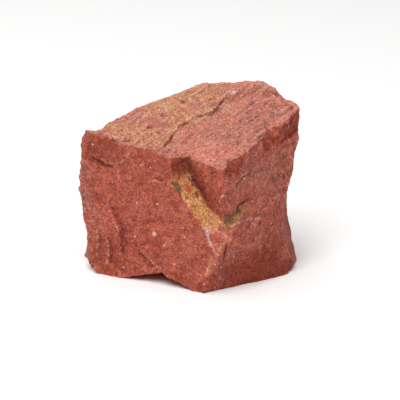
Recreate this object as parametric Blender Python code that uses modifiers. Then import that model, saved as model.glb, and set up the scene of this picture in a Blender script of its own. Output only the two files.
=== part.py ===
"""Red jasper rough: one broken lump of stone, about 75 mm long, that lies on its flattest side.

The stone is a block bounded by its fracture faces. Smaller breaks are then taken out of it: a notch
above an iron-stained seam, chips along the edges, a lobe, hollows, and an arch under the front.
X runs to the right, Y to the back, Z up. The origin is on the ground under the middle of the stone.
"""

import math

import bmesh
import bpy
from mathutils import Matrix, Vector

NAME = "red_jasper_rock"
MM = 0.001

# Corners that the faces hang on, in millimetres.
FRONT_FOOT = (4.2, -26.6, 0.0)
LEFT_CORNER = (-35.0, 0.2, 47.9)
BACK_CORNER = (27.2, 20.9, 59.6)
NOSE_TOP = (11.1, -21.7, 40.9)
SEAM_CORNER = (11.3, -26.4, 22.6)
SEAM_LEFT = (5.2, -23.7, 21.7)
STEP_TOP = (26.2, -1.1, 49.9)
CHIP_CREST = (32.0, 2.8, 51.8)
LEDGE_EDGE = (27.8, -6.3, 41.4)
ARCH_LEFT = (-21.1, -13.6, 0.8)
ARCH_RIGHT = (1.6, -26.0, -0.3)

# A face is (facing, lean, point): facing turns from the front (0) to the right (90) and the back (180),
# a positive lean looks up, and the point is any point on the face.
FRACTURE_FACES = {
    "top": (-5.8, 67.7, LEFT_CORNER),
    "top_right": (18, 63, BACK_CORNER),
    "front_left": (-26.6, 7.5, FRONT_FOOT),
    "front_right": (31.1, -9.4, (4.2, -27.0, 0)),
    "right_middle": (47, 10, SEAM_CORNER),
    "right_back": (94, -1, (37.1, 6, 40)),
    "right_toe": (74, -24, (36.9, -2, 4.6)),
    "left_margin": (-52, 3, (-32.1, -7, 25)),
    "left_end": (-95, 0, (-37.6, 0, 26)),
    "left_toe": (-70, -28, (-34.6, -6, 3.5)),
    "left_back_top": (-137, 16, (-27.4, 4.2, 49.6)),
    "left_back": (-122, -6, (-33, 8, 30)),
    "back_left": (-150, 10, (-9.6, 16, 55.5)),
    "back": (179, 7, (14, 23, 59.6)),
    "back_low": (168, -14, (4, 26.2, 26)),
    "back_right": (131, 10, (30.5, 17.6, 57.5)),
}
SEAM = (12.9, 42.7, SEAM_LEFT)
UNDER_SEAM = (-167.1, -42.7, SEAM_LEFT)
NOTCH_END = (79, 0, (-5.9, -16.2, 36))
NOTCH_LIP = (-4, -33, (-4, -14.6, 43.2))
CHIP_STEP = (60, 12, STEP_TOP)
CHIP_LEDGE = (37, 58, LEDGE_EDGE)

# A break takes away what lies outside all of its faces.
BREAKS = {
    "notch_deep": (SEAM, (-58.7, -10, (0.2, -12.8, 34.4)), NOTCH_LIP, NOTCH_END),
    "notch_middle": (SEAM, (-44, -4.8, (3.2, -16.5, 29.8)), NOTCH_LIP, NOTCH_END),
    "notch_low": (SEAM, (-30.7, -0.5, (6.5, -20, 25.3)), NOTCH_LIP, NOTCH_END),
    "nose_front": (SEAM, (-26.6, 4.1, NOSE_TOP), NOTCH_LIP, NOTCH_END),
    "nose_side": (SEAM, (41.6, 5.4, NOSE_TOP)),
    "front_chip": (UNDER_SEAM, (9.3, 21.0, (4.7, -23.6, 22.0))),
    "lobe": ((-27, 60, (-29, -4.6, 37.4)), (-28, 3.5, (-22, -6.7, 46)), (-90, 25, (-20, -8, 41))),
    "corner_chip": (CHIP_STEP, CHIP_LEDGE, (57.8, -2, CHIP_CREST)),
    "edge_chip": (CHIP_STEP, CHIP_LEDGE, (30, 14, STEP_TOP)),
    "nose_chip": ((62, 16, NOSE_TOP), (27, 14, (13.3, -17.5, 42.7)), (35, 40, (15.8, -17.8, 38.2))),
    "front_arch": ((14, -65, ARCH_LEFT), (-75.7, -62, ARCH_RIGHT)),
}

# A hollow is (point, facing, lean, roll, half width, half height, depth): the bowl that a flake leaves.
HOLLOWS = {
    "nose_dish": ((22.8, -12.3, 34.2), 43, 3, 8, 14.5, 7.0, 0.6),
    "right_sweep": ((36.9, 5, 34), 88, -2, 0, 20, 10, 2.2),
    "top_trough": ((13.5, 11, 54.9), 0, 66, 45, 20, 4.8, 1.5),
    "horn_dip": ((-31.2, 2.2, 49.0), -70, 55, 0, 4.6, 4.2, 1.8),
    "corner_dip": ((31.4, 17.2, 57.0), 40, 58, 0, 4.8, 4.2, 1.1),
    "right_waist": ((36.6, 5, 19.5), 84, -3, 0, 30, 16.5, 4.6),
    "left_waist": ((-37, 1, 12), -92, -4, 0, 15, 8, 2.2),
    "back_bowl": ((6, 25, 33), 176, -4, 25, 19, 14, 3.0),
    "back_chip": ((27, 21, 44), 145, 8, 30, 11, 7, 2.4),
    "left_back_dish": ((-24, 12.5, 26), -138, 2, -30, 22, 13, 2.2),
    "back_toe": ((14, 24, 0), 172, -50, 0, 15, 8, 4.0),
    "underside": ((10, 6, 0), 0, -90, 0, 17, 10, 1.6),
}
HOLLOW_CURVE = 5.0  # a hollow's cutter is this many times deeper than the hollow itself

# A swelling is (point, radius, height).
SWELLINGS = {
    "left_horn": ((-34.8, -0.6, 46.8), 4.0, 1.5),
    "left_lobe": ((-36.8, 0, 41.5), 4.0, 0.7),
}

# Relief of the broken surface: (size of the lumps, height), all smaller than the breaks.
RELIEF_LAYERS = ((9.0, 1.8), (3.6, 1.1))
GRAIN = 0.8  # size of the even mesh that the relief is worked into
KEPT_DETAIL = 0.13  # share of that mesh kept at the end
BLOCK_SIZE = 160.0
SUNK = 3.0  # how far the block goes below the ground before it is cut flat


def outward(facing, lean):
    """Unit vector that points out of a face."""
    turn, tilt = math.radians(facing), math.radians(lean)
    return Vector((math.sin(turn) * math.cos(tilt), -math.cos(turn) * math.cos(tilt), math.sin(tilt)))


def face_frame(facing, lean, roll):
    """Rotation whose X runs along a face, Y up it and Z out of it, rolled about Z."""
    normal = outward(facing, lean)
    along = Vector((math.cos(math.radians(facing)), math.sin(math.radians(facing)), 0.0))
    axes = Matrix((along, normal.cross(along), normal)).transposed()
    return (axes @ Matrix.Rotation(math.radians(roll), 3, "Z")).to_4x4()


def link_mesh(bm, name, collection):
    """Object made from a bmesh, in millimetres until here and in metres from here on."""
    bmesh.ops.recalc_face_normals(bm, faces=bm.faces)
    bmesh.ops.scale(bm, vec=(MM, MM, MM), verts=bm.verts)
    mesh = bpy.data.meshes.new(name)
    bm.to_mesh(mesh)
    bm.free()
    item = bpy.data.objects.new(name, mesh)
    collection.objects.link(item)
    return item


def split_block(name, faces, keep_inside, collection):
    """A cube split along each face: what is left lies inside all of them, or outside all of them."""
    bm = bmesh.new()
    bmesh.ops.create_cube(bm, size=BLOCK_SIZE)
    for facing, lean, point in faces:
        bmesh.ops.bisect_plane(
            bm,
            geom=bm.verts[:] + bm.edges[:] + bm.faces[:],
            plane_co=point,
            plane_no=outward(facing, lean),
            clear_outer=keep_inside,
            clear_inner=not keep_inside,
        )
        rim = [edge for edge in bm.edges if edge.is_boundary]
        bmesh.ops.holes_fill(bm, edges=rim, sides=0)
    return link_mesh(bm, name, collection)


def hollow_cutter(name, hollow, collection):
    """An ellipsoid that leaves a bowl of the given half width, half height and depth in a flat face."""
    point, facing, lean, roll, half_width, half_height, depth = hollow
    reach = math.sqrt(1 - (1 - 1 / HOLLOW_CURVE) ** 2)
    radii = (half_width / reach, half_height / reach, HOLLOW_CURVE * depth)
    centre = Vector(point) + outward(facing, lean) * (radii[2] - depth)
    shape = Matrix.Translation(centre) @ face_frame(facing, lean, roll) @ Matrix.Diagonal((*radii, 1))
    bm = bmesh.new()
    bmesh.ops.create_icosphere(bm, subdivisions=4, radius=1.0, matrix=shape)
    return link_mesh(bm, name, collection)


def cut(stone, cutter):
    cutter.hide_render = True
    cutter.display_type = "WIRE"
    boolean = stone.modifiers.new(cutter.name, "BOOLEAN")
    boolean.operation = "DIFFERENCE"
    boolean.solver = "EXACT"
    boolean.object = cutter


def displace(stone, texture, height, guide=None):
    """Moves the surface in and out along its normals by a texture's brightness."""
    modifier = stone.modifiers.new(texture.name, "DISPLACE")
    modifier.texture = texture
    modifier.strength = height * MM
    modifier.mid_level = 0.0 if guide else 0.5
    modifier.texture_coords = "OBJECT" if guide else "LOCAL"
    modifier.texture_coords_object = guide


def swell(stone, name, swelling, collection):
    """A round rise: a spherical blend that fades to nothing at the given radius."""
    point, radius, height = swelling
    guide = bpy.data.objects.new(name, None)
    guide.location = Vector(point) * MM
    guide.scale = (radius * MM,) * 3
    guide.hide_render = True
    collection.objects.link(guide)
    blend = bpy.data.textures.new(name, "BLEND")
    blend.progression = "SPHERICAL"
    displace(stone, blend, height, guide)


def roughen(stone):
    """An even mesh over the whole stone, then lumps of each size."""
    remesh = stone.modifiers.new("even_mesh", "REMESH")
    remesh.mode = "VOXEL"
    remesh.voxel_size = GRAIN * MM
    for number, (size, height) in enumerate(RELIEF_LAYERS):
        clouds = bpy.data.textures.new(f"relief_{number}", "CLOUDS")
        clouds.noise_scale = size * MM
        clouds.noise_depth = 2
        displace(stone, clouds, height)


def jasper_material():
    """Brick-red jasper with a dull, slightly waxy break."""
    material = bpy.data.materials.new("red_jasper")
    material.use_nodes = True
    shader = material.node_tree.nodes["Principled BSDF"]
    shader.inputs["Base Color"].default_value = (0.42, 0.105, 0.065, 1.0)
    shader.inputs["Roughness"].default_value = 0.7
    shader.inputs["Metallic"].default_value = 0.0
    return material


def clear_scene():
    for item in list(bpy.data.objects):
        bpy.data.objects.remove(item, do_unlink=True)


def new_collection(name):
    collection = bpy.data.collections.new(name)
    bpy.context.scene.collection.children.link(collection)
    return collection


def build_stone():
    parts = new_collection(NAME)
    cutters = new_collection("cutters")
    underside = (0, -90, (0, 0, -SUNK))
    stone = split_block(NAME, [underside, *FRACTURE_FACES.values()], True, parts)
    for name, faces in BREAKS.items():
        cut(stone, split_block(name, faces, False, cutters))
    for name, hollow in HOLLOWS.items():
        cut(stone, hollow_cutter(name, hollow, cutters))
    roughen(stone)
    for name, swelling in SWELLINGS.items():
        swell(stone, name, swelling, cutters)
    decimate = stone.modifiers.new("fewer_faces", "DECIMATE")
    decimate.ratio = KEPT_DETAIL
    cut(stone, split_block("ground", [(0, 90, (0, 0, 0))], True, cutters))
    stone.data.materials.append(jasper_material())
    return stone


clear_scene()
build_stone()
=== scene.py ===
import math

import bpy
import numpy as np
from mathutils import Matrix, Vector


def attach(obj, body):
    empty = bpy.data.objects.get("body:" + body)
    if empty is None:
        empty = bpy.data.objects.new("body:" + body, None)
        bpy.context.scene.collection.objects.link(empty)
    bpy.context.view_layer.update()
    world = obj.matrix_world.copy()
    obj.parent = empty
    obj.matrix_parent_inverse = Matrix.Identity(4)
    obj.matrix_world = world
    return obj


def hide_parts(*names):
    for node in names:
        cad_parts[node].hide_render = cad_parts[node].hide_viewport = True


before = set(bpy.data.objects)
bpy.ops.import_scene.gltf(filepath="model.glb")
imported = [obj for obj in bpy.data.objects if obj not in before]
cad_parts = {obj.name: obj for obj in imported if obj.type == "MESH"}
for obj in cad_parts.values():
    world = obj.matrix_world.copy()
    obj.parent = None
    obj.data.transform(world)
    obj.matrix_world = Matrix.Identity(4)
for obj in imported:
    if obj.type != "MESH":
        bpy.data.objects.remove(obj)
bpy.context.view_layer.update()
mm = 0.001  # the stone is worked out in millimetres, and its mesh is in metres

# Corners that the stone's faces hang on.
frontFoot = (4.2, -26.6, 0.0)
leftCorner = (-35.0, 0.2, 47.9)
backCorner = (27.2, 20.9, 59.6)
noseTop = (11.1, -21.7, 40.9)
seamCorner = (11.3, -26.4, 22.6)
seamMiddle = (7.4, -21.2, 24.9)
seamTip = (9.4, -21.9, 23.5)
stepTop = (26.2, -1.1, 49.9)
chipCrest = (32.0, 2.8, 51.8)
ledgeEdge = (27.8, -6.3, 41.4)
archLeft = (-21.1, -13.6, 0.8)
archRight = (1.6, -26.0, -0.3)

# A face is (facing, lean, point): facing turns from the front (0) to the right (90) and the back (180),
# and a positive lean looks up.
seam = (8.2, 36.2, seamMiddle)
underSeam = (-171.8, -36.2, seamMiddle)
notchEnd = (22, 7.4, (-6.1, -15.8, 37.7))
grooveFloor = (1.6, 52.9, (14.0, -23.8, 21.6))
notchLip = (-4, -33, (-4, -14.6, 43.2))
chipStep = (60, 12, stepTop)
chipLedge = (37, 58, ledgeEdge)

stone = {
    "faces": {
        "ground": (0, -90, (0, 0, 0)),
        "top": (-5.8, 67.7, leftCorner),
        "topRight": (18, 63, backCorner),
        "frontLeft": (-26.6, 7.5, frontFoot),
        "frontRight": (31.1, -9.4, (4.2, -27.0, 0)),
        "rightMiddle": (47, 10, seamCorner),
        "rightBack": (94, -1, (37.1, 6, 40)),
        "rightToe": (74, -24, (36.9, -2, 4.6)),
        "leftMargin": (-52, 3, (-32.1, -7, 25)),
        "leftEnd": (-95, 0, (-37.6, 0, 26)),
        "leftToe": (-70, -28, (-34.6, -6, 3.5)),
        "leftBackTop": (-137, 16, (-27.4, 4.2, 49.6)),
        "leftBack": (-122, -6, (-33, 8, 30)),
        "backLeft": (-150, 10, (-9.6, 16, 55.5)),
        "back": (179, 7, (14, 23, 59.6)),
        "backLow": (168, -14, (4, 26.2, 26)),
        "backRight": (131, 10, (30.5, 17.6, 57.5)),
    },
    # A break takes away what lies outside all of its faces.
    "breaks": {
        "notchDeep": (seam, (-54.6, -4.3, (2.9, -17.4, 31.0)), notchLip, notchEnd),
        "notchMiddle": (seam, (-41.4, 1.4, (5.8, -20.1, 26.7)), notchLip, notchEnd),
        "noseFront": (seam, (-24.9, 2.7, seamTip), notchLip, notchEnd),
        "noseSide": (grooveFloor, (33, 2.0, (10.1, -22.5, 22.7))),
        "frontChip": (underSeam, (0, 18.5, (4.5, -23.5, 22.3))),
        "lobe": ((-27, 60, (-29, -4.6, 37.4)), (-28, 3.5, (-22, -6.7, 46)), (-90, 25, (-20, -8, 41))),
        "cornerChip": (chipStep, chipLedge, (57.8, -2, chipCrest)),
        "edgeChip": (chipStep, chipLedge, (30, 14, stepTop)),
        "noseChip": ((62, 16, noseTop), (27, 14, (13.3, -17.5, 42.7)), (35, 40, (15.8, -17.8, 38.2))),
        "frontArch": ((14, -65, archLeft), (-75.7, -62, archRight)),
    },
    # A hollow is (point, facing, lean, roll, half width, half height, depth).
    "hollows": {
        "noseDish": ((22.8, -12.3, 34.2), 43, 3, 8, 14.5, 7.0, 0.6),
        "rightSweep": ((36.9, 5, 34), 88, -2, 0, 20, 10, 2.2),
        "topTrough": ((13.5, 11, 54.9), 0, 66, 45, 20, 4.8, 1.5),
        "hornDip": ((-31.2, 2.2, 49.0), -70, 55, 0, 4.6, 4.2, 1.8),
        "cornerDip": ((31.4, 17.2, 57.0), 40, 58, 0, 4.8, 4.2, 1.1),
        "rightWaist": ((36.6, 5, 19.5), 84, -3, 0, 30, 16.5, 4.6),
        "leftWaist": ((-37, 1, 12), -92, -4, 0, 15, 8, 2.2),
        "backBowl": ((6, 25, 33), 176, -4, 25, 19, 14, 3.0),
        "backChip": ((27, 21, 44), 145, 8, 30, 11, 7, 2.4),
        "leftBackDish": ((-24, 12.5, 26), -138, 2, -30, 22, 13, 2.2),
        "backToe": ((14, 24, 0), 172, -50, 0, 15, 8, 4.0),
        "underside": ((10, 6, 0), 0, -90, 0, 17, 10, 1.6),
    },
    "hollowCurve": 5.0,  # a hollow's ellipsoid is this many times deeper than the hollow
    # A swelling is (point, radius, height).
    "swellings": {"leftHorn": ((-34.8, -0.6, 46.8), 4.0, 1.5), "leftLobe": ((-36.8, 0, 41.5), 4.0, 0.7)},
    "centre": (-4.0, 6.0, 26.0),
    "low": (-38, -28, 0),
    "high": (38, 26, 60),
    "cells": (156, 110, 123),  # of the box grid, along x, y and z
    # (size, height) of each face's drift, which frays its edges
    "wander": ((14.0, 0.25), (5.0, 0.3), (2.2, 0.28)),
    "slack": 1.4,  # how far the drift may carry the surface

    # Heights of each zone's relief: facets, streaks, grain.
    "zones": {
        "front": (0.12, 0.0, 0.15),
        "left": (0.95, 0.80, 0.45),
        "top": (0.50, 0.70, 0.22),
        "right": (0.50, 0.28, 0.18),
        "chips": (0.60, 0.0, 0.26),
        "notch": (0.22, 0.0, 0.18),
        "back": (0.60, 0.10, 0.25),
    },
    "facetSize": 4.2,
    "fineFacets": (2.2, 0.5),  # a second layer: so many times smaller, and its share of the height
    "facetMiddle": 0.53,  # what the facet relief comes to on average
    # A layer of noise is (size, octaves, gain, seed).
    "grain": (1.7, 2, 0.6, 1),
    "swell": (9.0, 2, 0.5, 16),
    "swellHeight": 0.30,
    # Streaks are (direction, how many times longer than wide, layer).
    "streaks": {
        "top": ((0.65, 0.69, 0.31), 6, (1.7, 3, 0.55, 3)),
        "left": ((0.12, -0.10, 0.98), 4, (3.2, 3, 0.5, 5)),
        "others": ((0.68, 0.73, 0.50), 8, (1.5, 2, 0.5, 4)),
    },
    "groundFade": 1.2,  # the relief dies away over this height above the ground
    "sharpAngle": 26.0,  # edges sharper than this many degrees aren't smoothed

    # A groove is (points, half width, depth).
    "grooves": {
        "lobe": (((-33.5, -1.5, 39.2), (-31, -2.5, 38.2), (-28.5, -4, 37.2), (-26, -5.5, 37.1)), 0.65, 0.6),
        "ochreCrack": (((-13, -13, 35), (-11.5, -13.5, 35.5), (-9, -15, 35)), 0.4, 0.5),
        "wallCrack": (((4, -18, 37), (7, -19.5, 39), (10, -21, 40.5)), 0.3, 0.2),
        "edgeCrack": (((12.2, -25.5, 16.5), (11.8, -25.2, 14), (11, -25, 11.2)), 0.42, 1.0),
        "footCrack": (((24, -15, 15), (26.5, -12, 14.5), (30, -8.5, 13.5)), 0.35, 0.25),
        "secondGroove": (((20.1, -14.8, 28.9), (18, -16.9, 28.4), (16.3, -18.2, 27.5), (15.4, -19, 25.3)),
                         0.7, 0.7),
        "topGap": (((-8.5, -9.5, 45), (-8.3, -8, 45.6), (-7, -5.5, 46.6), (-6, -3, 47.6)), 0.45, 0.6),
        "oliveGap": (((0, -10.5, 45), (2.5, -10.5, 45), (5, -9.5, 45.5)), 0.4, 0.3),
        "ridgeOne": (((-24.5, -9.7, 18.5), (-23.5, -10.5, 16.3), (-22.5, -11.2, 13.5), (-22.3, -11.6, 11)),
                     0.7, 0.45),
        "ridgeTwo": (((-27.7, -8.8, 12.8), (-27, -9.4, 10.2), (-26.9, -9.9, 6.8), (-27.4, -10, 3.9)),
                     0.7, 0.5),
    },
    # A step is (points, height, reach): to the right of its line, seen from outside, the surface lies lower.
    "steps": {
        "topStep": (((-8.5, -9.5, 45), (-7, -5.5, 46.5), (-4, 1.5, 49.5), (-1.5, 3.5, 50.5), (3, 7, 52),
                     (7.5, 8, 53), (11, 14, 55.5), (13, 18, 57)), 0.85, 6),
        "noseArc": (((11.5, -22, 32), (12.5, -21.3, 33.7), (15, -19, 35.3), (17, -16.5, 37),
                     (19.5, -13.5, 38), (22.5, -10.5, 38.8)), 0.45, 6),
        "lowRidge": (((-23.5, -11.5, 7), (-23.7, -11, 11.5), (-24.5, -10, 15.5), (-26, -8.5, 20),
                      (-27.5, -7, 24)), 1.3, 2.8),
        "frontArc": (((-20, -12.5, 18), (-19, -13, 14.5), (-17, -14.5, 10.5), (-14.5, -16, 8.3),
                      (-11.5, -18, 6)), 1.2, 3.5),
        "upperLedge": (((27, -6.5, 33.3), (29, -4.5, 33.8), (32.5, -0.5, 33.6), (35, 3, 34)), 0.6, 2.5),
        "lowerLedge": (((29.5, -4.5, 28.8), (32, -2, 29), (35, 2, 29.6)), 0.5, 2.5),
    },
    # A pit is (point, radius, depth).
    "pits": (((-21, -5, 46.5), 0.9, 0.9), ((-13.5, 1, 49), 0.7, 0.6), ((-10.5, -2, 48), 0.5, 0.5),
             ((-2.5, 13.5, 54.5), 0.9, 0.6), ((-9.5, 7, 51.5), 0.7, 0.5), ((7.5, 11.5, 54.5), 0.6, 0.5),
             ((12.8, -17.3, 42.7), 0.6, 0.6)),

    "colours": {
        "red": (0.43, 0.098, 0.062),
        "deepRed": (0.27, 0.045, 0.024),
        "warmRed": (0.45, 0.095, 0.045),
        "darkRed": (0.17, 0.030, 0.016),
        "rose": (0.43, 0.15, 0.115),
        "salmon": (0.55, 0.175, 0.12),
        # painted sheen: the pale grey that grazing light gives the stone's margins
        "paleSheen": (0.32, 0.143, 0.108),
        "tan": (0.48, 0.205, 0.115),
        "umber": (0.30, 0.080, 0.037),
        "ochre": (0.54, 0.225, 0.085),
        "olive": (0.30, 0.135, 0.055),
        "paleOchre": (0.56, 0.27, 0.14),
        "white": (0.66, 0.46, 0.42),
        "palePink": (0.56, 0.27, 0.21),
        "slate": (0.16, 0.10, 0.12),
        "black": (0.035, 0.022, 0.020),
    },
    # A wash is (point, radius along x, y and z, colour, strength).
    "washes": {
        "lobeShade": ((-30, -3, 43), (9, 8, 7), "deepRed", 0.45),
        # painted shade: darker low on the left, near the ground
        "lowLeftShade": ((-26, -9, 6), (12, 8, 12), "deepRed", 0.6),
        "frontShoulder": ((-14, -12, 41), (10, 8, 4), "deepRed", 0.25),
        # painted shade: darker towards the foot on the right, where the ground shades it
        "footShade": ((22, -14, 2), (30, 20, 15), "deepRed", 0.95),
        "backTan": ((-4, 17, 56), (18, 7, 6), "tan", 0.6),
        "frontSalmon": ((7, -14, 44), (14, 8, 4), "salmon", 0.85),
        "shoulderRose": ((28, 6, 54), (9, 14, 6), "rose", 0.5),
        "ridgeUmber": ((26.5, 17, 57), (2.6, 4, 2.2), "umber", 0.75),
        "rightRose": ((24, -8, 34), (14, 12, 9), "rose", 0.3),
        "stainRight": ((31.5, 0, 40.8), (2.2, 2.6, 0.8), "ochre", 0.7),
        "stainLedge": ((31, -2.5, 33.0), (4.5, 5, 0.6), "paleOchre", 0.55),
        "stainLow": ((34, 1, 29.5), (3, 4, 1.2), "paleOchre", 0.6),
        "stainMiddle": ((24, -9, 35.8), (3, 3.5, 0.8), "paleOchre", 0.35),
        # painted sheen where the right side turns away at its edge
        "rightSheen": ((37, 8, 35), (5, 10, 10), "paleSheen", 0.5),
    },
    # A vein is (points, half width, colour).
    "veins": {
        "lobeLine": (((-31, -2.5, 39), (-28.5, -4, 38.3), (-25.5, -5.5, 38.2), (-23, -6.5, 39),
                      (-21, -7.5, 41), (-20.5, -7.5, 43.5)), 0.5, "paleOchre"),
        "smallArc": (((-19.5, -9, 39), (-17.5, -10, 38.8), (-15.5, -11, 39.4)), 0.45, "paleOchre"),
        "ochreCrack": (((-13.5, -12.5, 34), (-11.5, -13.5, 34.6), (-8.5, -15, 34), (-6.5, -16, 35)),
                       0.45, "ochre"),
        "redBand": (((-3.4, -15.4, 34.8), (-1.1, -16.2, 33.3), (1.2, -17.1, 31.6)), 2.2, "warmRed"),
        "blackLeft": (((-5.8, -16.1, 34.9), (-4.8, -16.5, 33.5), (-3.7, -17.4, 32), (-2.7, -18.2, 30.6),
                       (-1.6, -18.9, 29.3)), 0.8, "black"),
        "blackMiddle": (((-4.5, -15.8, 34.6), (-3.4, -16.9, 32.9), (-2.1, -17.6, 31.6), (-0.9, -18.4, 30.3)),
                        0.75, "black"),
        "blackRight": (((-0.6, -14.4, 36.2), (0.7, -15.5, 34), (1.7, -16.6, 32.3), (2.4, -17.8, 30.6)),
                       0.8, "black"),
        "leftLine": (((-36, -2.5, 17), (-33.5, -5, 17.5), (-30.5, -6.5, 18.5)), 0.35, "paleOchre"),
        "frontEdge": (((13, -23.5, 20.5), (11.7, -24.9, 18), (10.1, -25.7, 15.8), (7.8, -26.4, 13.3),
                       (6.5, -26.2, 10.1), (5.5, -26.3, 6.6)), 0.8, "paleOchre"),
        "noseArc": (((11.3, -21.3, 32.2), (13, -20.2, 33.6), (15, -18.8, 35.5), (17.3, -16.2, 37.1),
                     (19.7, -13.4, 38), (22.1, -10.8, 38.3)), 0.7, "palePink"),
        "noseCrest": (((11.8, -20.8, 37.2), (11.3, -21.2, 33.9), (10, -21.8, 30.7), (9.9, -22, 26.6)),
                      0.35, "palePink"),
        "rightLine": (((12.3, -23.3, 21.9), (13.7, -23.1, 22.2), (16.3, -21, 22.8), (20.4, -16.7, 22.4),
                       (23.9, -13.2, 21.6)), 0.55, "palePink"),
        "ridgeOne": (((-25.4, -9, 18.7), (-24.4, -9.9, 16.5), (-23.4, -10.8, 13.7), (-23.2, -11.2, 11),
                      (-23.8, -11.4, 8.2)), 0.5, "palePink"),
        "ridgeTwo": (((-28.6, -8.3, 12.8), (-27.9, -9, 10.2), (-27.8, -9.6, 6.8), (-28.3, -9.7, 3.9)),
                     0.45, "palePink"),
        "ridgeThree": (((-32.7, -5.5, 17.6), (-31.7, -6.5, 14.3), (-31.4, -7.3, 10.3), (-32.2, -7.5, 6)),
                       0.5, "palePink"),
        "chipLine": (((4.8, -23.7, 21.7), (5.5, -24.4, 19.2), (6.8, -25.5, 16.1), (7.4, -26, 14.3)),
                     0.75, "white"),
        "chipVein": (((32.5, 4, 50), (33.5, 5.5, 48.5), (34.5, 5.5, 46.5)), 0.4, "white"),
        "topLeft": (((-29.7, -1, 47.9), (-27.6, -1.8, 47.4), (-25.2, -2.9, 47), (-23.1, -4.6, 46.4),
                     (-20.1, -4.7, 46.5), (-16.5, -5.2, 46.5)), 0.45, "white"),
        "topSmall": (((-19.5, -3.5, 47), (-17.5, -3, 47.5)), 0.4, "white"),
        "stepPale": (((-4, 1.5, 49.7), (-1.5, 3.5, 50.7), (3, 7, 52.2), (7.5, 8, 53.2)), 0.5, "palePink"),
        "backPale": (((13.5, 16, 56.5), (15.5, 18, 57.5)), 0.7, "white"),
        "rightPale": (((21, -4, 48.5), (22.5, -4, 48)), 0.4, "white"),
        "lowPale": (((-14, -16.5, 7.5), (-12, -17.6, 6.6), (-10, -18.5, 6)), 0.5, "white"),
        "chipSlate": (((27, -4.5, 42), (28.5, -2.5, 42.5), (30.5, -1, 42.5)), 0.5, "slate"),
        "cornerSlate": (((34, 3, 45), (35, 5, 44)), 0.6, "slate"),
        "topSlate": (((15, 7.5, 53), (17, 7.5, 53)), 0.4, "slate"),
        "middleSlate": (((14, -2, 49), (15.5, -3, 48.5)), 0.5, "slate"),
    },
    # Pale crystals in the red: (point, radius).
    "flecks": (((-12, -16, 17), 0.8), ((-8.5, -17, 24), 0.35), ((-8.5, -17, 22.7), 0.3),
               ((-22.5, -10.5, 18.5), 0.35), ((-18.5, -13, 15), 0.35), ((-22.5, -12.5, 3.8), 0.4),
               ((-11, -15, 27), 0.3), ((18.5, -18.5, 23), 0.45), ((20.5, -17, 21), 0.3),
               ((6.5, -24, 21), 0.4), ((8, -25.5, 18), 0.35), ((-7.5, -9.5, 45.2), 0.4)),

    # Layers of noise that the colours follow.
    "patch": (7.0, 3, 0.6, 20),
    "cloud": (3.0, 3, 0.6, 23),
    "pinkDrift": (4, 3, 0.6, 26),
    # Heights between which the seam's stain starts and goes over from ochre to umber, and where painted shade
    # under the notch's top edge turns the rim red.
    "stainStart": (21.2, 22.3),
    "ochreEnd": (39.5, 36.0),
    "rimShadeStart": (34.5, 38.5),
    "edgeLight": 0.30,  # how much paler the worn edges are
    # The dents' darkening is painted shade.
    "dentShade": 0.35,  # how much darker the dents are
}


def outward(facing, lean):
    # (sin f cos l, -cos f cos l, sin l)
    f, l = math.radians(facing), math.radians(lean)
    return np.array([math.sin(f) * math.cos(l), -math.cos(f) * math.cos(l), math.sin(l)])


def faceFrame(facing, lean, roll=0.0):
    # rows: along the face, up it and out of it, the first two rolled about the third
    normal = outward(facing, lean)
    along = np.array([math.cos(math.radians(facing)), math.sin(math.radians(facing)), 0.0])
    up = np.cross(normal, along)
    c, s = math.cos(math.radians(roll)), math.sin(math.radians(roll))
    return np.stack([along * c + up * s, up * c - along * s, normal])


def smoothStep(low, high, x):
    # 0 at low, 1 at high, and 3t^2 - 2t^3 between them
    t = np.clip((x - low) / (high - low), 0, 1)
    return t * t * (3 - 2 * t)


slopes = np.array([(x, y, 0) for x in (-1, 1) for y in (-1, 1)]
                  + [(x, 0, z) for x in (-1, 1) for z in (-1, 1)]
                  + [(0, y, z) for y in (-1, 1) for z in (-1, 1)], float)
domainTurn = np.array([(0.0, 0.8, 0.6), (-0.8, 0.36, -0.48), (-0.6, -0.48, 0.64)])


def cellNumber(cell, dx, dy, dz):
    # one large whole number for each cell of the grid, the same each run
    h = (cell[..., 0] + dx) * 73856093 ^ (cell[..., 1] + dy) * 19349663 ^ (cell[..., 2] + dz) * 83492791
    h = (h ^ (h >> 13)) * 1274126177 & 0xFFFFFFFF
    h = (h ^ (h >> 15)) * 2246822519 & 0xFFFFFFFF
    return h ^ (h >> 16)


def noise(p, size, seed=0):
    # gradient noise: slope(corner).(q - corner) of the 8 corners of q's cell, blended by 6t^5 - 15t^4 + 10t^3
    q = p / size + 31.7 * seed
    cell = np.floor(q)
    t = q - cell
    whole = cell.astype(np.int64)
    fade = t * t * t * (t * (t * 6 - 15) + 10)
    total = np.zeros(q.shape[:-1])
    for dx in (0, 1):
        for dy in (0, 1):
            for dz in (0, 1):
                reach = (t - (dx, dy, dz)) * slopes[cellNumber(whole, dx, dy, dz) % 12]
                wx = fade[..., 0] if dx else 1 - fade[..., 0]
                wy = fade[..., 1] if dy else 1 - fade[..., 1]
                wz = fade[..., 2] if dz else 1 - fade[..., 2]
                total += wx * wy * wz * reach.sum(-1)
    return total


def fractal(p, size, octaves=3, gain=0.5, seed=0):
    # sum of gain^k noise(size / 2^k), each layer turned against the one before
    total, height = 0.0, 1.0
    for k in range(octaves):
        total = total + height * noise(p, size / 2 ** k, seed + k)
        p = p @ domainTurn
        height *= gain
    return total


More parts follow.
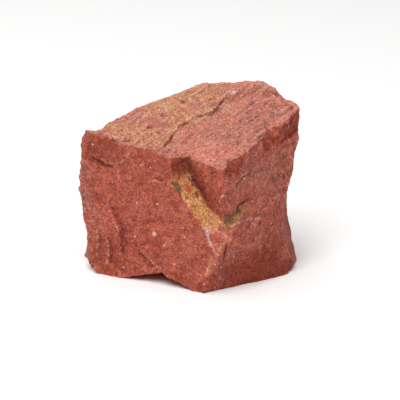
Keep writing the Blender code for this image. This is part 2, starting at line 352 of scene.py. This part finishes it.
def brokenFacets(p, size, seed=0, tilt=0.9, curve=0.55):
    # the highest of the planes that hang on one random point in each of the 27 cells round p:
    # slope.(q - point) - curve |q - point|^2, so flat chips meet in crisp ridges
    q = p / size + 17.3 * seed
    cell = np.floor(q)
    whole = cell.astype(np.int64)
    best = np.full(q.shape[:-1], -1e9)
    for dx in (-1, 0, 1):
        for dy in (-1, 0, 1):
            for dz in (-1, 0, 1):
                h = cellNumber(whole, dx, dy, dz)
                place = np.stack([h & 1023, h >> 10 & 1023, h >> 20 & 1023], -1) / 1023
                gap = q - (cell + (dx, dy, dz) + place)
                lean = slopes[h % 12]
                best = np.maximum(best, tilt * (gap * lean).sum(-1) - curve * (gap * gap).sum(-1))
    return best - stone["facetMiddle"]


def stretch(p, along, times):
    # the part along a direction made so many times shorter, which draws a noise out along it
    along = np.array(along, float) / np.linalg.norm(along)
    return p - (1 - 1 / times) * (p @ along)[:, None] * along


# Every plane once, so that the breaks that share one share its drift too.
cuts = stone["breaks"]
cutPlanes = [face for cut in cuts.values() for face in cut]
allPlanes = list(dict.fromkeys(list(stone["faces"].values()) + cutPlanes))
planeNormals = np.array([outward(facing, lean) for facing, lean, _ in allPlanes])
planeDistances = (planeNormals * np.array([point for _, _, point in allPlanes])).sum(1)
faceCount = len(stone["faces"])
breakColumns = {name: [allPlanes.index(face) for face in cut] for name, cut in cuts.items()}

# How each plane mixes the three drift noises: the notch's walls do it alike, and the flat planes have none.
turns = np.arange(len(allPlanes))
for name in ("notchMiddle", "noseFront"):
    turns[breakColumns[name][1]] = turns[breakColumns["notchDeep"][1]]
driftMix = np.stack([np.cos(1.9 * turns), np.sin(2.7 * turns), np.cos(4.1 * turns + 1)], 0)
for flat in (stone["faces"]["ground"], seam, underSeam, grooveFloor, cuts["frontChip"][1]):
    driftMix[:, allPlanes.index(flat)] = 0


def hollowDepth(p, spec):
    # (1 - |q|) times the least radius, q in the hollow's own ellipsoid
    point, facing, lean, roll, halfWidth, halfHeight, depth = spec
    curve = stone["hollowCurve"]
    reach = math.sqrt(1 - (1 - 1 / curve) ** 2)
    radii = np.array([halfWidth / reach, halfHeight / reach, curve * depth])
    axes = faceFrame(facing, lean, roll)
    centre = np.array(point, float) + axes[2] * (radii[2] - depth)
    q = (p - centre) @ axes.T / radii
    return (1 - np.linalg.norm(q, axis=-1)) * radii.min()


def faceDrift(p):
    # three noises at each size; every face mixes them in its own way
    fields = 0.0
    for k, (size, height) in enumerate(stone["wander"]):
        fields = fields + height * np.stack([noise(p, size, 5 * k + m + 1) for m in range(3)], -1)
    return fields


def planeOffsets(p, drift=None):
    # distance outside each plane: n.p - d, less the drift of that plane
    offsets = p @ planeNormals.T - planeDistances
    if drift is not None:
        offsets -= drift @ driftMix
    return offsets


def stoneField(p, drift=None):
    # below zero inside: the largest of n.p - d over the faces, the least face of each break, and the hollows
    offsets = planeOffsets(p, drift)
    field = offsets[..., :faceCount].max(-1)
    for columns in breakColumns.values():
        field = np.maximum(field, offsets[..., columns].min(-1))
    for spec in stone["hollows"].values():
        field = np.maximum(field, hollowDepth(p, spec))
    for point, radius, height in stone["swellings"].values():
        field = field - height * np.exp(-((p - np.array(point)) ** 2).sum(-1) / radius ** 2)
    return field


def wornField(p):
    # the field with every face moved by its own drift
    return stoneField(p, faceDrift(p))


def boxGrid(cells, low, high):
    # a grid on each of the six sides of a box: two axes run from low to high over it, and the third stays
    # at one end; the order of the two makes every quad's front face outward
    low, high = np.array(low, float), np.array(high, float)
    sides = []
    for axis in range(3):
        for end in (1, 0):
            first, second = ((axis + 1) % 3, (axis + 2) % 3)[::1 if end else -1]
            spans = [np.linspace(low[k], high[k], cells[k] + 1) for k in (first, second)]
            side = np.empty((cells[first] + 1, cells[second] + 1, 3))
            side[..., first], side[..., second] = np.meshgrid(*spans, indexing="ij")
            side[..., axis] = high[axis] if end else low[axis]
            sides.append(side)
    return sides


def castOut(rays, centre, nearest=4.0, farthest=80.0, steps=76):
    # distance along each ray to the first way out: steps through the plain form, then halvings of the
    # worn one
    r = np.full(rays.shape[:-1], nearest)
    left = np.zeros(r.shape, bool)
    stride = (farthest - nearest) / steps
    for _ in range(steps):
        left |= stoneField(centre + rays * (r + stride)[..., None]) > 0
        r = np.where(left, r, r + stride)
    low, high = r - stone["slack"], r + stride + stone["slack"]
    for _ in range(13):
        middle = (low + high) / 2
        outside = wornField(centre + rays * middle[..., None]) > 0
        low, high = np.where(outside, low, middle), np.where(outside, middle, high)
    return (low + high) / 2


def fieldNormals(field, p, step=0.05):
    # the field's slope along x, y and z, made one long
    g = np.stack([field(p + step * axis) - field(p - step * axis) for axis in np.eye(3)], -1)
    return g / np.maximum(np.linalg.norm(g, axis=-1, keepdims=True), 1e-9)


def crispCorners(hits, normals, quads, count, pull=0.05, limit=1.2):
    # each corner of the grid goes where the planes of the 3 or 4 cells round it meet:
    # least squares of n.(x - hit), with a light pull to their mean, kept within reach of them
    lhs, rhs = np.zeros((count, 3, 3)), np.zeros((count, 3))
    mean, cells = np.zeros((count, 3)), np.zeros(count)
    outer = normals[:, :, None] * normals[:, None, :]
    level = normals * (normals * hits).sum(1)[:, None]
    for k in range(4):
        np.add.at(lhs, quads[:, k], outer)
        np.add.at(rhs, quads[:, k], level)
        np.add.at(mean, quads[:, k], hits)
        np.add.at(cells, quads[:, k], 1)
    mean /= cells[:, None]
    corners = np.linalg.solve(lhs + pull * np.eye(3), (rhs + pull * mean)[..., None])[..., 0]
    reach = np.zeros(count)
    for k in range(4):
        np.maximum.at(reach, quads[:, k], np.linalg.norm(hits - mean[quads[:, k]], axis=1))
    offset = corners - mean
    length = np.linalg.norm(offset, axis=1)
    return mean + offset * np.minimum(1, limit * reach / np.maximum(length, 1e-9))[:, None]


def stoneSurface():
    # points and quads of the closed surface: rays from the centre through a box grid, out to the worn form
    centre = np.array(stone["centre"])
    sides = boxGrid(stone["cells"], stone["low"], stone["high"])
    corners = np.concatenate([side.reshape(-1, 3) for side in sides])
    keys = np.round(corners * 1e4).astype(np.int64)
    _, first, welded = np.unique(keys, axis=0, return_index=True, return_inverse=True)
    welded = welded.reshape(-1)
    quads, start = [], 0
    for side in sides:
        index = welded[start:start + side.shape[0] * side.shape[1]].reshape(side.shape[:2])
        start += index.size
        corner = [index[:-1, :-1], index[1:, :-1], index[1:, 1:], index[:-1, 1:]]
        quads.append(np.stack(corner, -1).reshape(-1, 4))
    quads = np.concatenate(quads)
    rays = corners[first][quads].mean(1) - centre
    rays /= np.linalg.norm(rays, axis=1, keepdims=True)
    hits = centre + rays * castOut(rays, centre)[:, None]
    normals = fieldNormals(wornField, hits)
    return crispCorners(hits, normals, quads, len(first)), quads


def vertexNormals(points, quads):
    # sum of the diagonals' cross products of the quads round each point
    a, b, c, d = (points[quads[:, k]] for k in range(4))
    diagonals = np.cross(c - a, d - b)
    total = np.zeros_like(points)
    for k in range(4):
        np.add.at(total, quads[:, k], diagonals)
    return total / np.maximum(np.linalg.norm(total, axis=1, keepdims=True), 1e-12)


def ringMean(values, quads):
    # mean of the values at the far ends of the grid lines that meet in each point
    total, count = np.zeros_like(values), np.zeros(len(values))
    for k in range(4):
        a, b = quads[:, k], quads[:, (k + 1) % 4]
        np.add.at(total, a, values[b])
        np.add.at(total, b, values[a])
        np.add.at(count, a, 1)
        np.add.at(count, b, 1)
    return total / count.reshape((-1,) + (1,) * (values.ndim - 1))


def lineDistance(p, normals, points):
    # least distance to the line's segments, measured along the surface, which side of it, and how far
    # along it from 0 to 1
    best = np.full(len(p), 1e9)
    side, share = np.zeros(len(p)), np.zeros(len(p))
    points = np.array(points, float)
    for k in range(len(points) - 1):
        run = points[k + 1] - points[k]
        t = np.clip((p - points[k]) @ run / (run @ run), 0, 1)
        gap = p - points[k] - t[:, None] * run
        away = (gap * normals).sum(1)
        flat = np.sqrt(np.maximum((gap * gap).sum(1) - away ** 2, 0)) + 10 * np.maximum(np.abs(away) - 3, 0)
        nearer = flat < best
        best = np.where(nearer, flat, best)
        side = np.where(nearer, (np.cross(run, normals) * gap).sum(1), side)
        share = np.where(nearer, (k + t) / (len(points) - 1), share)
    return best, side, share


def surfaceZones(p):
    # how far each point belongs to each zone, from 0 to 1: the faces by whose plane stands highest there,
    # and the breaks by how near to zero their own field is
    offsets = planeOffsets(p, faceDrift(p))
    names = list(stone["faces"])

    def onFaces(soft, *chosen):
        # how far the highest of the chosen faces stands above all others
        inside = [names.index(name) for name in chosen]
        others = np.delete(offsets[:, :faceCount], inside, 1).max(1)
        return smoothStep(-soft, soft, offsets[:, inside].max(1) - others)

    def onBreaks(soft, *chosen):
        # how near the highest of the chosen breaks comes to the surface
        return smoothStep(-soft, 0, np.max([offsets[:, breakColumns[name]].min(1) for name in chosen], 0))

    notch = onBreaks(0.25, "notchDeep", "notchMiddle", "noseFront")
    chips = np.maximum(onBreaks(0.4, "cornerChip", "edgeChip", "noseChip"),
                       smoothStep(6, 3, np.linalg.norm(p - np.array(frontFoot), axis=1)))
    seamFloor = np.abs(offsets[:, allPlanes.index(seam)])
    free = (1 - notch) * (1 - chips)
    zones = {
        "notch": notch,
        "chips": chips * (1 - notch),
        "front": onFaces(1.5, "frontLeft") * free,
        "left": onFaces(2.5, "leftMargin", "leftEnd", "leftToe") * free,
        "top": onFaces(0.6, "top", "topRight") * free,
        "right": onFaces(2.0, "frontRight", "rightMiddle", "rightToe", "rightBack") * free,
    }
    zones["back"] = np.clip(free - zones["front"] - zones["left"] - zones["top"] - zones["right"], 0, 1)
    zones["floor"] = notch * smoothStep(0.5, 0.15, seamFloor)
    endGap = np.abs(offsets[:, allPlanes.index(notchEnd)])
    zones["end"] = notch * smoothStep(0.5, 0.15, endGap) * (1 - zones["floor"])
    zones["wall"] = notch * smoothStep(0.2, 0.6, seamFloor) * (1 - zones["end"])
    zones["frontChip"] = onBreaks(0.25, "frontChip")
    zones["deep"] = zones["wall"] * smoothStep(9.0, 0.5, seamFloor) * smoothStep(14, 3, p[:, 0])
    grooveFloorGap = np.abs(offsets[:, allPlanes.index(grooveFloor)])
    zones["groove"] = onBreaks(0.25, "noseSide") * smoothStep(1.2, 0.3, grooveFloorGap)
    return zones


def roughen(p, quads, zones):
    # moves each point along its normal by the relief of its zones, and by the grooves, steps and pits;
    # returns the points and how far each lies in a groove
    normals = vertexNormals(p, quads)
    facets, streaks, grain = (sum(heights[k] * zones[name] for name, heights in stone["zones"].items())
                              for k in range(3))
    shares = {"top": zones["top"], "left": zones["left"], "others": 1 - zones["top"] - zones["left"]}
    streaky = sum(shares[name] * fractal(stretch(p, along, times), *layer)
                  for name, (along, times, layer) in stone["streaks"].items())
    size = stone["facetSize"]
    smaller, fineShare = stone["fineFacets"]
    rise = stone["swellHeight"] * fractal(p, *stone["swell"])
    rise += facets * (brokenFacets(p, size, 1) + fineShare * brokenFacets(p, size / smaller, 2))
    rise += streaks * streaky * (0.4 + 0.6 * smoothStep(-0.3, 0.2, noise(p, 10, 6)))
    rise += grain * fractal(p, *stone["grain"])
    grooved = np.zeros(len(p))
    for points, width, depth in stone["grooves"].values():
        d, _, share = lineDistance(p, normals, points)
        d = d + 0.3 * np.abs(noise(p, 1.5, 7))
        ends = smoothStep(0, 0.15, share) * smoothStep(0, 0.15, 1 - share)
        cut = np.exp(-(d / width) ** 2) * (0.3 + 0.7 * ends)
        rise -= depth * cut
        grooved = np.maximum(grooved, cut * min(1, depth / 0.6))
    for points, height, reach in stone["steps"].values():
        d, side, share = lineDistance(p, normals, points)
        d = d + 0.5 * noise(p, 2.0, 8)
        lower = np.where(side > 0, smoothStep(-0.1, 0.4, d) * np.exp(-(d / reach) ** 2), 0)
        rise -= height * lower * smoothStep(0, 0.12, share) * smoothStep(0, 0.12, 1 - share)
    for point, radius, depth in stone["pits"]:
        cut = np.exp(-(np.linalg.norm(p - np.array(point), axis=1) / radius) ** 2 / 1.5)
        rise -= depth * cut
        grooved = np.maximum(grooved, 0.8 * cut)
    moved = p + normals * (rise * smoothStep(0.0, stone["groundFade"], p[:, 2]))[:, None]
    moved[:, 2] = np.maximum(moved[:, 2], 0)
    return moved, grooved


def paint(tone, share, colour):
    # the tone goes over to the colour where the share is 1
    target = np.array(stone["colours"][colour])
    return tone + np.clip(share, 0, 1)[:, None] * (target - tone)


def paintTone(p, quads, zones, grooved):
    # each point's colour: the zones' tones, then washes, the seam's iron stain, veins and worn edges, with
    # painted shade in dents, grooves, pits, the notch's deep crevice and rim and low by the ground, and a
    # painted sheen on the margins
    normals = vertexNormals(p, quads)
    patch = fractal(p, *stone["patch"])
    cloud = fractal(p, *stone["cloud"])
    tone = np.tile(np.array(stone["colours"]["red"]), (len(p), 1))
    tone = paint(tone, 0.5 * smoothStep(-0.1, 0.5, cloud), "deepRed")
    tone = paint(tone, zones["right"] * 0.25, "rose")
    # Painted sheen: the left margin paler and greyer in patches, as grazing light shows it.
    tone = paint(tone, zones["left"] * smoothStep(-0.3, 0.4, patch + 0.3), "paleSheen")
    tone = paint(tone, zones["top"], "rose")
    d, side, _ = lineDistance(p, normals, stone["steps"]["topStep"][0])
    leftOfStep = np.where(side > 0, -d, d) + 4 * patch
    brownTop = zones["top"] * (0.25 + 0.75 * smoothStep(-3.5, 1.5, leftOfStep))
    tone = paint(tone, brownTop * smoothStep(-0.35, 0.25, patch + 0.15), "tan")
    pink = fractal(stretch(p, stone["streaks"]["top"][0], 3), *stone["pinkDrift"])
    tone = paint(tone, zones["top"] * 0.6 * smoothStep(0.1, 0.45, pink), "salmon")
    tone = paint(tone, zones["chips"] * 0.8 * smoothStep(-0.4, 0.3, cloud + 0.2), "deepRed")
    tone = paint(tone, zones["wall"] * 0.5, "warmRed")
    tone = paint(tone, zones["frontChip"] * smoothStep(-0.4, 0.2, cloud), "salmon")
    for point, radii, colour, strength in stone["washes"].values():
        far = np.linalg.norm((p - np.array(point)) / np.array(radii), axis=1) + 0.35 * patch
        tone = paint(tone, strength * smoothStep(1.1, 0.35, far), colour)
    # The notch's wall deep in the crevice by the seam: partly its own darker red, partly painted shade.
    tone = paint(tone, zones["deep"] * 0.95, "darkRed")
    # The seam's floor and the notch's end are ochre over umber and bare at the low tip; at the rim under the
    # top edge, painted shade makes the end deep red.
    stained = np.maximum(zones["floor"], zones["end"])
    started = smoothStep(*stone["stainStart"], p[:, 2] + 0.8 * cloud)
    tone = paint(tone, stained * started, "umber")
    ochre = stained * smoothStep(-0.75, 0.1, cloud + 0.4) * started
    tone = paint(tone, ochre * smoothStep(*stone["ochreEnd"], p[:, 2] + 3 * patch), "ochre")
    rim = zones["end"] * smoothStep(*stone["rimShadeStart"], p[:, 2] + 2 * cloud)
    tone = paint(tone, 0.75 * rim, "deepRed")
    tone = paint(tone, zones["groove"] * smoothStep(24, 20, p[:, 0]), "olive")
    for points, width, colour in stone["veins"].values():
        d, _, share = lineDistance(p, normals, points)
        d = d + 0.45 * np.abs(noise(p, 1.2, 11))
        broken = smoothStep(-0.3, 0.1, noise(p, 2.5, 12))
        tone = paint(tone, 0.85 * broken * smoothStep(width, 0.25 * width, d), colour)
    for point, radius in stone["flecks"]:
        far = np.linalg.norm(p - np.array(point), axis=1) / radius
        tone = paint(tone, smoothStep(1.3, 0.6, far), "white")
    bend = ((p - ringMean(p, quads)) * normals).sum(1)
    for _ in range(3):
        bend = 0.4 * bend + 0.6 * ringMean(bend, quads)
    bend /= np.linalg.norm(ringMean(p, quads) - p, axis=1).mean()
    # Worn edges are made paler; the dents are darkened with painted shade.
    light = stone["edgeLight"] * smoothStep(0.15, 1.0, bend)
    shade = stone["dentShade"] * smoothStep(0.15, 1.2, -bend)
    tone *= (1 + light - shade)[:, None]
    # Grooves and pits are darkened in dark red: painted shade in them.
    return paint(tone, 0.8 * grooved, "darkRed")


class NodeBench:
    # adds nodes to a material's tree and joins them
    def __init__(self, material):
        material.use_nodes = True
        self.tree = material.node_tree
        self.tree.nodes.clear()
        self.count = 0

    def fill(self, socket, value):
        # a link where the value is another node's socket, else a constant
        if isinstance(value, bpy.types.NodeSocket):
            self.tree.links.new(value, socket)
        else:
            socket.default_value = value

    def add(self, kind, inputs=None, **settings):
        # a new node, its settings first and then its inputs
        node = self.tree.nodes.new(kind)
        node.location = (self.count * 40, -(self.count % 7) * 120)
        self.count += 1
        for name, value in settings.items():
            setattr(node, name, value)
        for name, value in (inputs or {}).items():
            self.fill(node.inputs[name], value)
        return node

    def noise(self, place, size, detail=3.0, roughness=0.55):
        # the size is in millimetres
        return self.add("ShaderNodeTexNoise", {"Vector": place, "Scale": 1 / (size * mm), "Detail": detail,
                                               "Roughness": roughness}).outputs["Fac"]

    def cells(self, place, size):
        # cells of the given size in millimetres
        return self.add("ShaderNodeTexVoronoi", {"Vector": place, "Scale": 1 / (size * mm)})

    def ramp(self, value, low, high, start=0.0, end=1.0):
        # low to high becomes start to end, and stays there beyond
        return self.add("ShaderNodeMapRange", {"Value": value, "From Min": low, "From Max": high,
                                               "To Min": start, "To Max": end}).outputs["Result"]

    def math(self, operation, a, b):
        # a and b added or multiplied
        return self.add("ShaderNodeMath", {0: a, 1: b}, operation=operation).outputs[0]

    def mix(self, share, a, b, blend="MIX"):
        # inputs 6 and 7 and output 2 are the node's colours
        node = self.add("ShaderNodeMix", {0: share, 6: a, 7: b}, data_type="RGBA", blend_type=blend)
        return node.outputs[2]

    def brighten(self, colour, times):
        # all three channels times the same number
        return self.add("ShaderNodeVectorMath", {0: colour, "Scale": times}, operation="SCALE").outputs[0]


finish = {
    "mottleSize": 2.6,
    "mottle": (0.70, 0.55, 0.48, 1),  # what the darker patches multiply the tone by
    "mottleRange": (0.50, 0.68),  # of the noise, from no patch to a full one
    "mottleShare": 0.45,
    "blushSize": 6.5,
    "blush": (1.12, 1.32, 1.42, 1),
    "blushRange": (0.50, 0.66),
    "blushShare": 0.6,
    "crystalSize": 0.48,
    # Crystals are (channel of the chance, where it starts, greatest share, what they multiply the tone by).
    "crystals": {
        "dark": (0, 0.55, 0.8, (0.50, 0.36, 0.42, 1)),
        "pale": (1, 0.60, 0.7, (1.30, 1.85, 2.10, 1)),
        "warm": (2, 0.50, 0.9, (1.20, 0.95, 0.68, 1)),
    },
    "fineSize": 0.33,
    "fineContrast": (0.78, 1.22),
    "fineBlush": (1.0, 1.20, 1.34, 1),
    "fineBlushStart": 0.6,
    "grainSize": 0.34,
    "grainContrast": 1.2,
    "speckSize": 2.6,
    "speck": (0.66, 0.46, 0.42, 1),
    "speckEdge": (0.16, 0.08),
    "speckGroups": (5, 0.5, 0.62),  # size of the groups, and the noise from none to full
    "inkSize": 1.6,
    "ink": (0.13, 0.085, 0.10, 1),
    "inkRange": (0.64, 0.70),
    "inkShare": (0.12, 0.75),  # on fresh breaks and on the weathered top
    "roughness": (0.62, 0.88),
    "specular": 0.2,
    "bumpStrength": 0.7,
    "bumpDepth": 0.28,
    "bumpShares": (0.6, 0.4),  # of the grain and of the crystals
}


def jasperMaterial():
    # the painted tone, mottled and blushed in patches, then broken into crystals darker and paler than it,
    # with white specks, ink-dark stains on the weathered top, and a bump from the grain and the crystals
    material = bpy.data.materials.new("redJasper")
    bench = NodeBench(material)
    place = bench.add("ShaderNodeTexCoord").outputs["Object"]
    colour = bench.add("ShaderNodeAttribute", attribute_name="tone").outputs["Color"]
    weathered = bench.add("ShaderNodeAttribute", attribute_name="weathered").outputs["Fac"]
    mottled = bench.ramp(bench.noise(place, finish["mottleSize"], 4, 0.6), *finish["mottleRange"])
    blushed = bench.ramp(bench.noise(place, finish["blushSize"], 3), *finish["blushRange"])
    mottled = bench.math("MULTIPLY", mottled, finish["mottleShare"])
    colour = bench.mix(mottled, colour, finish["mottle"], "MULTIPLY")
    blushed = bench.math("MULTIPLY", blushed, finish["blushShare"])
    colour = bench.mix(blushed, colour, finish["blush"], "MULTIPLY")
    crystals = bench.cells(place, finish["crystalSize"])
    chance = bench.add("ShaderNodeSeparateColor", {0: crystals.outputs["Color"]})
    for channel, start, most, tint in finish["crystals"].values():
        share = bench.ramp(chance.outputs[channel], start, 1.0, 0.0, most)
        colour = bench.mix(share, colour, tint, "MULTIPLY")
    fine = bench.cells(place, finish["fineSize"])
    fineChance = bench.add("ShaderNodeSeparateColor", {0: fine.outputs["Color"]})
    fineBlushed = bench.ramp(fineChance.outputs[1], finish["fineBlushStart"], 1.0)
    colour = bench.mix(fineBlushed, colour, finish["fineBlush"], "MULTIPLY")
    colour = bench.brighten(colour, bench.ramp(fineChance.outputs[0], 0, 1, *finish["fineContrast"]))
    grain = bench.noise(place, finish["grainSize"], 2, 0.6)
    contrast = finish["grainContrast"]
    colour = bench.brighten(colour, bench.ramp(grain, 0.0, 1.0, 1 - contrast / 2, 1 + contrast / 2))
    specks = bench.ramp(bench.cells(place, finish["speckSize"]).outputs["Distance"], *finish["speckEdge"])
    groupSize, groupLow, groupHigh = finish["speckGroups"]
    grouped = bench.ramp(bench.noise(place, groupSize, 2), groupLow, groupHigh)
    colour = bench.mix(bench.math("MULTIPLY", specks, grouped), colour, finish["speck"])
    inky = bench.ramp(bench.noise(place, finish["inkSize"], 3, 0.7), *finish["inkRange"])
    inkShare = bench.ramp(weathered, 0, 1, *finish["inkShare"])
    colour = bench.mix(bench.math("MULTIPLY", inky, inkShare), colour, finish["ink"])
    grainShare, crystalShare = finish["bumpShares"]
    height = bench.math("ADD", bench.math("MULTIPLY", grain, grainShare),
                        bench.math("MULTIPLY", crystals.outputs["Distance"], crystalShare))
    bump = bench.add("ShaderNodeBump", {"Height": height, "Strength": finish["bumpStrength"],
                                        "Distance": finish["bumpDepth"] * mm})
    rough = bench.ramp(chance.outputs[2], 0, 1, *finish["roughness"])
    shader = bench.add("ShaderNodeBsdfPrincipled", {"Base Color": colour, "Roughness": rough,
                                                    "Normal": bump.outputs["Normal"],
                                                    "Specular IOR Level": finish["specular"]})
    bench.add("ShaderNodeOutputMaterial", {"Surface": shader.outputs["BSDF"]})
    return material


def makeMesh(name, points, quads, tone, weathered, material):
    # points in metres, joined by the quads, each with its tone and how weathered it is
    mesh = bpy.data.meshes.new(name)
    mesh.from_pydata((points * mm).tolist(), [], quads.tolist())
    colours = mesh.attributes.new("tone", "FLOAT_COLOR", "POINT")
    colours.data.foreach_set("color", np.column_stack([tone, np.ones(len(tone))]).astype(np.float32).ravel())
    shares = mesh.attributes.new("weathered", "FLOAT", "POINT")
    shares.data.foreach_set("value", weathered.astype(np.float32))
    mesh.materials.append(material)
    mesh.polygons.foreach_set("use_smooth", np.ones(len(mesh.polygons), bool))
    mesh.update()
    mesh.set_sharp_from_angle(angle=math.radians(stone["sharpAngle"]))
    piece = bpy.data.objects.new(name, mesh)
    bpy.context.scene.collection.objects.link(piece)
    return piece


points, quads = stoneSurface()
print("stone cast:", len(points), "points")
zones = surfaceZones(points)
points, grooved = roughen(points, quads, zones)
tone = paintTone(points, quads, zones, grooved)
print("stone roughened and painted")
rock = makeMesh("jasperRock", points, quads, tone, zones["top"], jasperMaterial())
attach(rock, "root")
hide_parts("red_jasper_rock")

studio = {
    "floorSide": 6.0,
    "floorColour": (0.92, 0.915, 0.91, 1),
    "floorRoughness": 0.9,
    "floorSpecular": 0.1,
    "skyStrength": 0.17,
    # A lamp is (place, side in metres, power in watts).
    "lamps": {"frontSoftbox": ((-0.30, -0.80, 1.68), 1.5, 34.5),
              "backSoftbox": ((-0.35, 0.60, 1.80), 1.5, 15.0)},
    "cameraTarget": (0.0032, 0.0, 0.0236),
    "cameraDistance": 0.5,
    "cameraElevation": 18.0,
    "pixelsPerMetre": 2930.0,  # at the target, in a picture 400 pixels wide
    "sensorWidth": 36.0,
    "pictureWidth": 400.0,
}


def aimAt(thing, target):
    # turns the lamp or camera so that it looks down its own -Z at the target
    thing.rotation_euler = (Vector(target) - thing.location).to_track_quat("-Z", "Y").to_euler()


def makeFloor():
    # a square at height 0, half its side to each side of the origin
    half = studio["floorSide"] / 2
    corners = [(-half, -half, 0), (half, -half, 0), (half, half, 0), (-half, half, 0)]
    mesh = bpy.data.meshes.new("floor")
    mesh.from_pydata(corners, [], [(0, 1, 2, 3)])
    material = bpy.data.materials.new("paleFloor")
    material.use_nodes = True
    shader = material.node_tree.nodes["Principled BSDF"]
    shader.inputs["Base Color"].default_value = studio["floorColour"]
    shader.inputs["Roughness"].default_value = studio["floorRoughness"]
    shader.inputs["Specular IOR Level"].default_value = studio["floorSpecular"]
    mesh.materials.append(material)
    floor = bpy.data.objects.new("floor", mesh)
    bpy.context.scene.collection.objects.link(floor)


def makeLight():
    # an even white sky, and square softboxes aimed at the stone
    world = bpy.data.worlds.new("studioSky")
    world.use_nodes = True
    sky = world.node_tree.nodes["Background"]
    sky.inputs["Color"].default_value = (1, 1, 1, 1)
    sky.inputs["Strength"].default_value = studio["skyStrength"]
    bpy.context.scene.world = world
    for name, (place, side, power) in studio["lamps"].items():
        lamp = bpy.data.lights.new(name, "AREA")
        lamp.shape = "SQUARE"
        lamp.size = side
        lamp.energy = power
        softbox = bpy.data.objects.new(name, lamp)
        softbox.location = place
        bpy.context.scene.collection.objects.link(softbox)
        aimAt(softbox, studio["cameraTarget"])


def makeCamera():
    # the distance back from the target, along (0, -cos e, sin e) of the elevation e;
    # the lens is pixels per metre times the distance, over the picture's width, of the sensor's width
    lens = bpy.data.cameras.new("camera")
    lens.sensor_width = studio["sensorWidth"]
    reach = studio["pixelsPerMetre"] * studio["cameraDistance"]
    lens.lens = reach * studio["sensorWidth"] / studio["pictureWidth"]
    camera = bpy.data.objects.new("camera", lens)
    rise = math.radians(studio["cameraElevation"])
    back = Vector((0, -math.cos(rise), math.sin(rise)))
    camera.location = Vector(studio["cameraTarget"]) + back * studio["cameraDistance"]
    bpy.context.scene.collection.objects.link(camera)
    aimAt(camera, studio["cameraTarget"])
    bpy.context.scene.camera = camera


makeFloor()
makeLight()
makeCamera()
bpy.context.scene.view_settings.view_transform = "Standard"
print("floor, light and camera placed")
